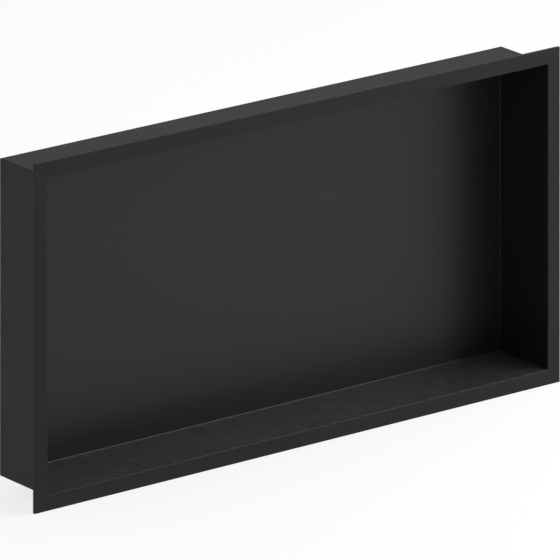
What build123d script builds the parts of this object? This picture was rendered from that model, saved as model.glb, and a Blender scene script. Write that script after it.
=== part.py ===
# Recessed shower niche: an open-fronted sheet metal tray with a flat flange round its mouth.
# Millimetres, +Z up. The origin is at the middle of the mouth, in the face of the finished wall:
# the flange lies on that face at y = 0, the tray runs into the wall along +Y and the mouth faces -Y.

import os

from build123d import *

# Driving dimensions
opening_length = 600.0  # clear length of the mouth
opening_height = 300.0  # clear height of the mouth
clear_depth = 77.0  # from the front of the flange to the back panel
sheet = 1.0  # thickness of the tray's walls and back panel
flange_width = 15.0  # visible band round the mouth
flange_thickness = 3.0  # how far the flange stands proud of the wall
mouth_radius = 0.9  # eased turn from the flange into the tray
bend_radius = 1.2  # inside radius of the two long bends at the back
seam_radius = 0.4  # welded seams round the two end panels, ground flush
rim_radius = 0.5  # eased outer edge of the flange
root_radius = 0.8  # hidden turn between the back of the flange and the tray

# Sizes that follow from them
flange_length = opening_length + 2 * flange_width
flange_height = opening_height + 2 * flange_width
tray_length = opening_length + 2 * sheet
tray_height = opening_height + 2 * sheet
tray_depth = clear_depth - flange_thickness + sheet
wall_face = Plane.XZ
flange_front = wall_face.offset(flange_thickness)

# The space inside the tray: two long bends at the back, then the seams of the end panels
with BuildPart() as hollow:
    with BuildSketch(flange_front):
        Rectangle(opening_length, opening_height)
    extrude(amount=-clear_depth)
    fillet(hollow.edges().filter_by(Axis.X).group_by(Axis.Y)[-1], bend_radius)
    mouth_face = hollow.faces().sort_by(Axis.Y)[0]
    fillet(hollow.faces().filter_by(Axis.X).edges() - mouth_face.edges(), seam_radius)

with BuildPart() as niche:
    # Tray behind the wall face: top, back and floor bent from one sheet, end panels welded in
    with BuildSketch(wall_face):
        Rectangle(tray_length, tray_height)
    extrude(amount=-tray_depth)
    fillet(niche.edges().filter_by(Axis.X).group_by(Axis.Y)[-1], bend_radius + sheet)
    wall_side = niche.faces().sort_by(Axis.Y)[0]
    fillet(niche.faces().filter_by(Axis.X).edges() - wall_side.edges(), seam_radius)

    # Flange in front of the wall face, eased round its outer edge
    with BuildSketch(wall_face):
        Rectangle(flange_length, flange_height)
    extrude(amount=flange_thickness)
    front_face = niche.faces().sort_by(Axis.Y)[0]
    flange_corners = niche.edges().filter_by(Axis.Y).group_by(Axis.Y)[0]
    fillet(front_face.edges() + flange_corners, rim_radius)

    # Open the mouth and round it over
    add(hollow.part, mode=Mode.SUBTRACT)
    front_ring = niche.faces().sort_by(Axis.Y)[0]
    fillet(front_ring.inner_wires()[0].edges(), mouth_radius)

    # Hidden turn where the tray leaves the back of the flange
    wall_ring = niche.faces().filter_by(wall_face).group_by(Axis.Y)[1].sort_by(SortBy.AREA)[-1]
    fillet(wall_ring.inner_wires()[0].edges(), root_radius)

niche.part.label = "niche"

os.makedirs("parts", exist_ok=True)
export_step(niche.part, "parts/niche.step")
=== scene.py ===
import math

import bmesh
import bpy
from mathutils import Matrix, Vector


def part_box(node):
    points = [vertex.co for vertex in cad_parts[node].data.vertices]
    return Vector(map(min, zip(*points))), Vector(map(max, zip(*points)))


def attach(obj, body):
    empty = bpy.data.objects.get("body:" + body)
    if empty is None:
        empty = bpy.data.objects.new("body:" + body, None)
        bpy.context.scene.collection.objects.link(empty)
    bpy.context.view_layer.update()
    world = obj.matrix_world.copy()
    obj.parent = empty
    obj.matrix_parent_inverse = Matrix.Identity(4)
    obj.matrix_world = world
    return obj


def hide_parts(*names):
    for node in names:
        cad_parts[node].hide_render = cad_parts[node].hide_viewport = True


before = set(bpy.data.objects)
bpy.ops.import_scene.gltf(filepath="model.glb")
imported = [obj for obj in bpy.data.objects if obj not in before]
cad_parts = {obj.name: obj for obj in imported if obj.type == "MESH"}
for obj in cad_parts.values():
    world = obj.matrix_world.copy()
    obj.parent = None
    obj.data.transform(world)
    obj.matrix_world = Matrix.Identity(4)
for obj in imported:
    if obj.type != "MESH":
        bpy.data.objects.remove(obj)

scene = bpy.context.scene
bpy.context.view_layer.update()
low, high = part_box("niche")
print("frame loaded, box", [round(v, 4) for v in low], [round(v, 4) for v in high])


# one folded and welded shell; its outer sizes come from the frame, all in metres
shellPlan = {
    "flangeWidth": 0.015,      # band round the mouth
    "sheet": 0.001,            # tray walls and back panel
    "mouthRadius": 0.0009,     # flange turning into the tray
    "bendRadius": 0.0012,      # inside of the two long bends at the back
    "seamRadius": 0.0004,      # welded seams round the end panels
    "rimRadius": 0.0005,       # eased outer edge of the flange
    "cutRadius": 0.00015,      # cut edge against the wall
    "rootRadius": 0.0008,      # hidden turn behind the flange
    "bevelSteps": 8,
    "flatWeight": 100,         # panels shade flat right up to their bends
}
inside, outside = 0, 1         # the shell's two finishes, in slot order


def makeShell(plan):
    sheet, width = plan["sheet"], plan["flangeWidth"]
    widest = plan["bendRadius"] + sheet  # outside of the long bends
    halfLength = (high.x - low.x) / 2 - width
    halfHeight = (high.z - low.z) / 2 - width
    bm = bmesh.new()
    weight = bm.edges.layers.float.new("bevel_weight_edge")

    # four corners round the middle of the mouth, so far out from the mouth's edge
    def corners(out, depth):
        signs = ((1, 1), (-1, 1), (-1, -1), (1, -1))
        x, z = halfLength + out, halfHeight + out
        return [bm.verts.new((sx * x, depth, sz * z)) for sx, sz in signs]

    innerBack = corners(0.0, high.y - sheet)
    mouth = corners(0.0, low.y)
    rim = corners(width, low.y)
    wallSide = corners(width, 0.0)
    root = corners(sheet, 0.0)
    outerBack = corners(sheet, high.y)

    # four panels from one ring of corners to the next
    def wrap(near, far, finish):
        for i in range(4):
            j = (i + 1) % 4
            bm.faces.new((near[i], near[j], far[j], far[i])).material_index = finish

    wrap(innerBack, mouth, inside)
    wrap(mouth, rim, outside)
    wrap(rim, wallSide, outside)
    wrap(wallSide, root, outside)
    wrap(root, outerBack, outside)
    bm.faces.new(innerBack).material_index = inside
    bm.faces.new(list(reversed(outerBack))).material_index = outside

    # every second edge of a ring runs along the length, the others stand upright
    def roundRing(ring, alongLength, upright):
        for i in range(4):
            edge = bm.edges.get((ring[i], ring[(i + 1) % 4]))
            edge[weight] = (alongLength if i % 2 == 0 else upright) / widest

    def roundCorners(near, far, radius):
        for a, b in zip(near, far):
            bm.edges.get((a, b))[weight] = radius / widest

    roundRing(innerBack, plan["bendRadius"], plan["seamRadius"])
    roundRing(outerBack, widest, plan["seamRadius"])
    roundRing(mouth, plan["mouthRadius"], plan["mouthRadius"])
    roundRing(rim, plan["rimRadius"], plan["rimRadius"])
    roundRing(wallSide, plan["cutRadius"], plan["cutRadius"])
    roundRing(root, plan["rootRadius"], plan["rootRadius"])
    roundCorners(innerBack, mouth, plan["seamRadius"])
    roundCorners(root, outerBack, plan["seamRadius"])
    roundCorners(rim, wallSide, plan["rimRadius"])

    bmesh.ops.recalc_face_normals(bm, faces=bm.faces)
    for face in bm.faces:
        face.smooth = True
    mesh = bpy.data.meshes.new("niche_shell")
    bm.to_mesh(mesh)
    bm.free()
    shell = bpy.data.objects.new("niche_shell", mesh)
    scene.collection.objects.link(shell)

    bends = shell.modifiers.new("bends and seams", "BEVEL")
    bends.limit_method = "WEIGHT"
    bends.width = widest
    bends.segments = plan["bevelSteps"]
    bends.use_clamp_overlap = False
    flats = shell.modifiers.new("flat panels", "WEIGHTED_NORMAL")
    flats.weight = plan["flatWeight"]
    print("shell", len(mesh.polygons), "panels")
    return shell


# satin black coat over steel: nearly black, with a fine peel and faint drawn streaks; panels that face
# up are paler with painted light from above, broken into patches, and the outside is duller than the
# inside
coatPlan = {
    "inside": {
        "black": 0.006, "blackLight": 0.008,
        # painted top light: paler grey painted on panels that face up
        "paintedTopLight": 0.038,
        "roughness": (0.355, 0.415),
        "specular": 0.35,
    },
    "outside": {
        "black": 0.0065, "blackLight": 0.0085,
        # painted top light: paler grey painted on panels that face up
        "paintedTopLight": 0.0165,
        "roughness": (0.52, 0.58),
        "specular": 0.235,
    },
    "streakScale": (6.0, 260.0, 260.0),  # drawn out along the length
    "streakDetail": 3.0,
    "mottleScale": 14.0,
    "mottleDetail": 4.0,
    "mottleShare": 0.5,        # the rest is streaks
    "noiseSpan": (0.35, 0.65),  # most of a noise lies in here
    "paintedTopLightFrom": (0.75, 0.97),  # how squarely a panel has to face up
    "patchScale": (85.0, 60.0, 85.0),  # patches in the painted top light
    "patchDetail": 3.0,
    "patchShare": 0.35,
    "peelScale": 900.0,        # about a millimetre across
    "peelDetail": 2.0,
    "peelDepth": 0.00001,
}


def grey(tone):
    return (tone, tone, tone, 1.0)


def stretched(tree, vector, scale):
    mapping = tree.nodes.new("ShaderNodeMapping")
    mapping.inputs["Scale"].default_value = scale
    tree.links.new(vector, mapping.inputs["Vector"])
    return mapping.outputs["Vector"]


def noise(tree, vector, detail, scale=1.0):
    texture = tree.nodes.new("ShaderNodeTexNoise")
    texture.inputs["Scale"].default_value = scale
    texture.inputs["Detail"].default_value = detail
    tree.links.new(vector, texture.inputs["Vector"])
    return texture.outputs["Fac"]


def remap(tree, value, fromSpan, toSpan):
    change = tree.nodes.new("ShaderNodeMapRange")
    for name, number in zip(("From Min", "From Max", "To Min", "To Max"), (*fromSpan, *toSpan)):
        change.inputs[name].default_value = number
    tree.links.new(value, change.inputs["Value"])
    return change.outputs["Result"]


def combine(tree, operation, first, second):
    both = tree.nodes.new("ShaderNodeMath")
    both.operation = operation
    tree.links.new(first, both.inputs[0])
    tree.links.new(second, both.inputs[1])
    return both.outputs[0]


def satinBlackCoat(plan, side):
    finish, span = plan[side], plan["noiseSpan"]
    coat = bpy.data.materials.new("satin black coat " + side)
    coat.use_nodes = True
    tree = coat.node_tree
    nodes, links = tree.nodes, tree.links
    shader = nodes["Principled BSDF"]
    shader.inputs["Specular IOR Level"].default_value = finish["specular"]
    place = nodes.new("ShaderNodeTexCoord").outputs

    # streaks and a broad mottle vary the black and its gloss together
    streaks = noise(tree, stretched(tree, place["Object"], plan["streakScale"]), plan["streakDetail"])
    mottle = noise(tree, place["Object"], plan["mottleDetail"], plan["mottleScale"])
    blend = nodes.new("ShaderNodeMix")
    blend.data_type = "FLOAT"
    blend.inputs["Factor"].default_value = plan["mottleShare"]
    links.new(streaks, blend.inputs["A"])
    links.new(mottle, blend.inputs["B"])
    tone = nodes.new("ShaderNodeValToRGB")
    for element, position, name in zip(tone.color_ramp.elements, span, ("black", "blackLight")):
        element.position = position
        element.color = grey(finish[name])
    links.new(blend.outputs["Result"], tone.inputs["Fac"])
    gloss = remap(tree, blend.outputs["Result"], span, finish["roughness"])
    links.new(gloss, shader.inputs["Roughness"])

    # painted light in patches on what faces up: up-facing panels are made paler
    facing = nodes.new("ShaderNodeSeparateXYZ")
    links.new(place["Normal"], facing.inputs["Vector"])
    paintedTopLight = remap(tree, facing.outputs["Z"], plan["paintedTopLightFrom"], (0.0, 1.0))
    patches = noise(tree, stretched(tree, place["Object"], plan["patchScale"]), plan["patchDetail"])
    patchy = remap(tree, patches, span, (1.0 - plan["patchShare"], 1.0))
    paintedTopLit = nodes.new("ShaderNodeMix")
    paintedTopLit.data_type = "RGBA"
    links.new(combine(tree, "MULTIPLY", paintedTopLight, patchy), paintedTopLit.inputs["Factor"])
    links.new(tone.outputs["Color"], paintedTopLit.inputs["A"])
    paintedTopLit.inputs["B"].default_value = grey(finish["paintedTopLight"])
    links.new(paintedTopLit.outputs["Result"], shader.inputs["Base Color"])

    peel = nodes.new("ShaderNodeBump")
    peel.inputs["Strength"].default_value = 1.0
    peel.inputs["Distance"].default_value = plan["peelDepth"]
    links.new(noise(tree, place["Object"], plan["peelDetail"], plan["peelScale"]), peel.inputs["Height"])
    links.new(peel.outputs["Normal"], shader.inputs["Normal"])
    return coat


shell = makeShell(shellPlan)
for side in ("inside", "outside"):
    shell.data.materials.append(satinBlackCoat(coatPlan, side))
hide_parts("niche")
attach(shell, "root")
print("shell coated")


# pale floor; what looks at it straight or in a reflection sees mostly white, and the shadow stays
stagePlan = {
    "floorReach": 14.0,
    "floorTone": 0.95,
    "whiteShare": 0.78,
    "gap": 0.0002,             # floor just under the flange
    "room": 0.56,              # light from the room all round
}


def makeFloor(plan):
    reach, height = plan["floorReach"], low.z - plan["gap"]
    mesh = bpy.data.meshes.new("floor")
    signs = ((-1, -1), (1, -1), (1, 1), (-1, 1))
    mesh.from_pydata([(sx * reach, sy * reach, height) for sx, sy in signs], [], [(0, 1, 2, 3)])
    floor = bpy.data.objects.new("floor", mesh)
    scene.collection.objects.link(floor)

    pale = bpy.data.materials.new("pale floor")
    pale.use_nodes = True
    tree = pale.node_tree
    nodes, links = tree.nodes, tree.links
    nodes.clear()
    matt = nodes.new("ShaderNodeBsdfDiffuse")
    matt.inputs["Color"].default_value = grey(plan["floorTone"])
    white = nodes.new("ShaderNodeEmission")
    white.inputs["Color"].default_value = grey(1.0)
    rays = nodes.new("ShaderNodeLightPath").outputs
    seen = combine(tree, "MAXIMUM", rays["Is Camera Ray"], rays["Is Glossy Ray"])
    seen = combine(tree, "MAXIMUM", seen, rays["Is Transmission Ray"])
    share = nodes.new("ShaderNodeMath")
    share.operation = "MULTIPLY"
    share.inputs[1].default_value = plan["whiteShare"]
    links.new(seen, share.inputs[0])
    mix = nodes.new("ShaderNodeMixShader")
    links.new(share.outputs[0], mix.inputs["Fac"])
    links.new(matt.outputs["BSDF"], mix.inputs[1])
    links.new(white.outputs["Emission"], mix.inputs[2])
    out = nodes.new("ShaderNodeOutputMaterial")
    links.new(mix.outputs["Shader"], out.inputs["Surface"])
    mesh.materials.append(pale)


def makeRoom(plan):
    studio = bpy.data.worlds.new("studio")
    studio.use_nodes = True
    light = studio.node_tree.nodes["Background"]
    light.inputs["Color"].default_value = grey(1.0)
    light.inputs["Strength"].default_value = plan["room"]
    scene.world = studio


makeFloor(stagePlan)
makeRoom(stagePlan)
print("stage set")


# soft boxes: degrees round from straight in front and up from level, metres away
lampPlan = {
    "right soft box": {
        "round": 65.0, "up": 35.0, "away": 2.0,
        "width": 2.4, "height": 2.3,
        "watts": 50.0,
    },
}


def makeSoftBox(name, plan):
    turn, rise = math.radians(plan["round"]), math.radians(plan["up"])
    toward = Vector((math.sin(turn) * math.cos(rise), -math.cos(turn) * math.cos(rise), math.sin(rise)))
    lamp = bpy.data.lights.new(name, "AREA")
    lamp.shape = "RECTANGLE"
    lamp.size = plan["width"]
    lamp.size_y = plan["height"]
    lamp.energy = plan["watts"]
    box = bpy.data.objects.new(name, lamp)
    scene.collection.objects.link(box)
    box.location = toward * plan["away"]
    box.rotation_euler = toward.to_track_quat("Z", "Y").to_euler()


for name, plan in lampPlan.items():
    makeSoftBox(name, plan)
print("soft boxes", len(lampPlan))


# the picture plane is upright, so upright edges stay parallel: the camera looks down along a slanted
# line of sight, and the holder keeps its sideways and upright axes level
cameraPlan = {
    "stand": (-5.476, -7.377, 2.805),
    "aim": (-0.0254, 0.0, -0.0002),  # in the middle of the picture
    "turn": 38.8,              # degrees from straight at the wall
    "lens": 640.6,
    "sensor": 36.0,
    "farthest": 100.0,         # nothing is drawn beyond this
}


def makeCamera(plan):
    turn = math.radians(plan["turn"])
    stand = Vector(plan["stand"])
    sight = Vector(plan["aim"]) - stand
    slant = Matrix.Translation(stand)
    slant.col[0][:3] = (math.cos(turn), -math.sin(turn), 0.0)
    slant.col[1][:3] = (0.0, 0.0, 1.0)
    slant.col[2][:3] = -sight.normalized()
    holder = bpy.data.objects.new("camera_holder", None)
    scene.collection.objects.link(holder)
    data = bpy.data.cameras.new("camera")
    data.sensor_width = plan["sensor"]
    data.lens = plan["lens"]
    data.clip_end = plan["farthest"]
    camera = bpy.data.objects.new("camera", data)
    scene.collection.objects.link(camera)
    camera.parent = holder
    camera.matrix_parent_inverse = slant
    scene.camera = camera
    print("camera", round(sight.length, 2), "m away")


makeCamera(cameraPlan)
scene.view_settings.view_transform = "Standard"

bpy.context.view_layer.update()
